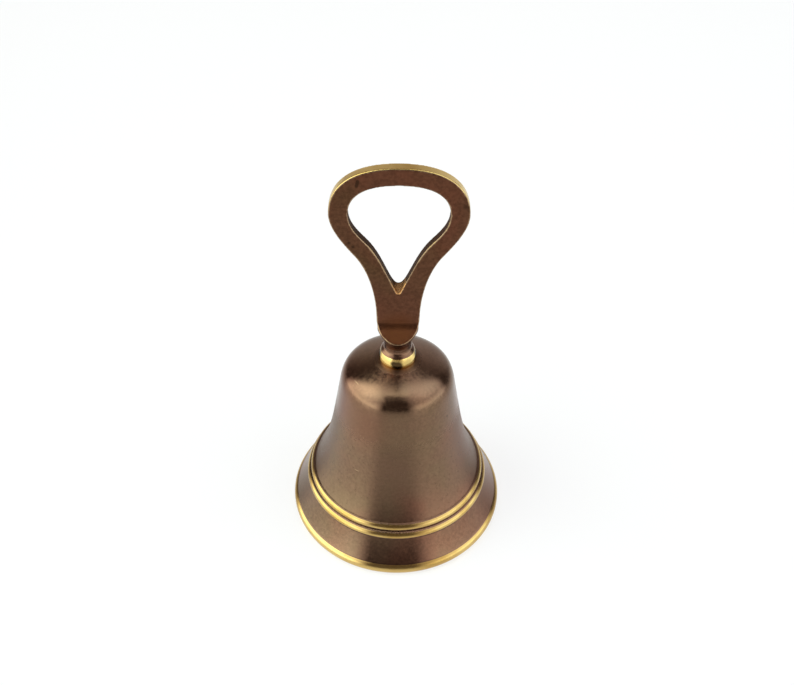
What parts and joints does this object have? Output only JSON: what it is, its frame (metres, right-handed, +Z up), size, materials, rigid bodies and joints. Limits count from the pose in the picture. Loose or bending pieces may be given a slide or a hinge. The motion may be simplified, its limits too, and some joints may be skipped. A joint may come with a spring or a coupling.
{
  "type": "hand bell",
  "caption": "Flared brass hand bell with a beaded skirt and rolled lip, a flat pear-shaped loop handle on a neck bead, and a ball clapper that swings from a wire link inside",
  "frame": {"origin": "centre of the circle on which the rim stands", "axes": "+Z up along the bell's axis from the rim to the top of the loop, X across the flat of the loop, Y through the loop, -Y towards the viewer of the picture"},
  "size_m": [0.075, 0.075, 0.1405],
  "materials": {
    "shell_brass": "brown antique patina, polished on the beads and the lip",
    "bead_brass": "polished lower half, brown patina above",
    "handle_brass": "brown antique patina, worn bright on the edges",
    "bolt_brass": "dull turned brass",
    "washer_steel": "plain washer",
    "nut_brass": "dull milled brass",
    "link_steel": "bent wire",
    "rod_brass": "dull drawn brass",
    "ball_brass": "turned brass, worn by striking"
  },
  "bodies": {
    "bell": {"bell_shell": "shell_brass", "neck_bead": "bead_brass", "handle": "handle_brass", "eye_bolt": "bolt_brass", "crown_washer": "washer_steel", "jam_nut": "nut_brass"},
    "link": {"clapper_link": "link_steel"},
    "clapper": {"clapper_rod": "rod_brass", "clapper_ball": "ball_brass", "clapper_nut": "nut_brass"}
  },
  "joints": [
    {"name": "link_swing", "type": "hinge", "parent": "bell", "child": "link", "pos_m": [0, 0, 0.0514], "axis": [1, 0, 0], "range_deg": [-8, 8]},
    {"name": "clapper_swing", "type": "hinge", "parent": "link", "child": "clapper", "pos_m": [0, 0, 0.0462], "axis": [0, 1, 0], "range_deg": [-31.5, 31.5]}
  ]
}
